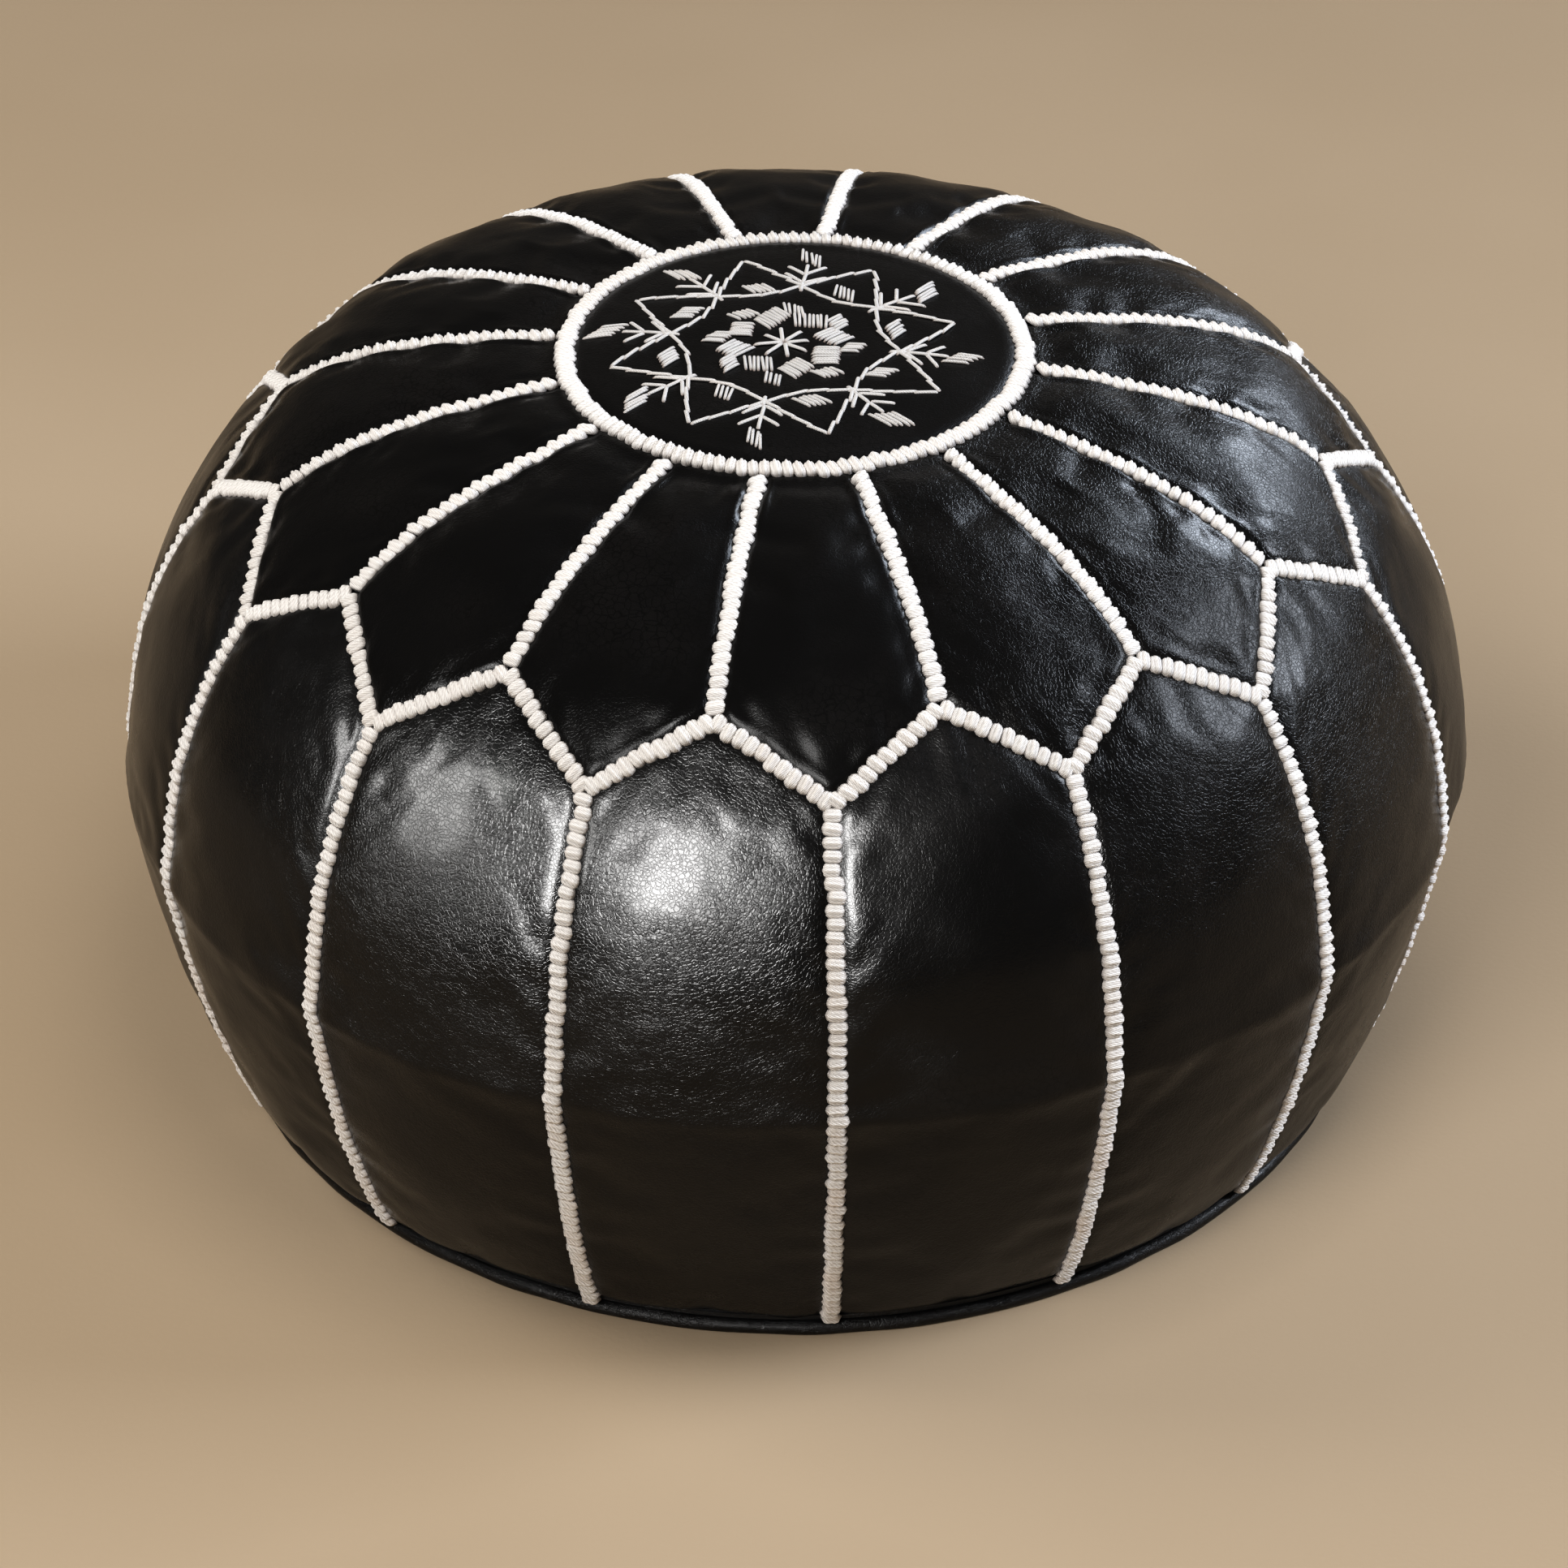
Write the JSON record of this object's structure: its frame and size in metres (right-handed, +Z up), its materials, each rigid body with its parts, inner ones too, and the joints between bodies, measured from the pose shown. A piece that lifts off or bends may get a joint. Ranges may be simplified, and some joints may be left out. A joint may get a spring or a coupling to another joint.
{
  "type": "leather pouf",
  "caption": "Round stuffed leather pouf with a flat base, pointed top panels round an embroidered medallion, knotted white seam stitching and a zip underneath.",
  "frame": {"origin": "middle of the base, on the floor", "axes": "+Z up, through the middle of the medallion; +X along a radial seam and along the zip"},
  "size_m": [0.54, 0.54, 0.3029],
  "materials": {
    "black_leather": "glossy pebbled sheepskin, dyed black",
    "base_leather": "plain black leather, semi-matt",
    "black_piping": "rolled black leather cord, whip-stitched",
    "white_thread": "thick ivory thread, satin sheen",
    "zip_tape": "black woven tape",
    "zip_nylon": "black nylon",
    "zip_metal": "nickel-plated zinc, satin",
    "lining_cloth": "unbleached cotton",
    "wadding": "loose cotton wadding"
  },
  "bodies": {
    "pouf": {"medallion": "black_leather", "top_panel_01": "black_leather", "top_panel_02": "black_leather", "top_panel_03": "black_leather", "top_panel_04": "black_leather", "top_panel_05": "black_leather", "top_panel_06": "black_leather", "top_panel_07": "black_leather", "top_panel_08": "black_leather", "top_panel_09": "black_leather", "top_panel_10": "black_leather", "top_panel_11": "black_leather", "top_panel_12": "black_leather", "top_panel_13": "black_leather", "top_panel_14": "black_leather", "top_panel_15": "black_leather", "top_panel_16": "black_leather", "side_panel_01": "black_leather", "side_panel_02": "black_leather", "side_panel_03": "black_leather", "side_panel_04": "black_leather", "side_panel_05": "black_leather", "side_panel_06": "black_leather", "side_panel_07": "black_leather", "side_panel_08": "black_leather", "side_panel_09": "black_leather", "side_panel_10": "black_leather", "side_panel_11": "black_leather", "side_panel_12": "black_leather", "side_panel_13": "black_leather", "side_panel_14": "black_leather", "side_panel_15": "black_leather", "side_panel_16": "black_leather", "base_half_front": "base_leather", "base_half_back": "base_leather", "base_piping": "black_piping", "medallion_ring_stitching": "white_thread", "radial_seam_stitching": "white_thread", "zigzag_seam_stitching": "white_thread", "side_seam_stitching": "white_thread", "medallion_embroidery": "white_thread", "zip_tape_front": "zip_tape", "zip_teeth_front": "zip_nylon", "zip_tape_back": "zip_tape", "zip_teeth_back": "zip_nylon", "zip_stops": "zip_metal", "inner_lining": "lining_cloth", "filling": "wadding"},
    "zip_slider": {"zip_slider": "zip_metal"},
    "zip_pull": {"zip_pull": "zip_metal"}
  },
  "joints": [
    {"name": "zip_slide", "type": "slide", "parent": "pouf", "child": "zip_slider", "axis": [-1, 0, 0], "range_m": [0, 0.284]},
    {"name": "zip_pull_hinge", "type": "hinge", "parent": "zip_slider", "child": "zip_pull", "pos_m": [0.142, 0, 0.00375], "axis": [0, -1, 0], "range_deg": [0, 180]}
  ]
}
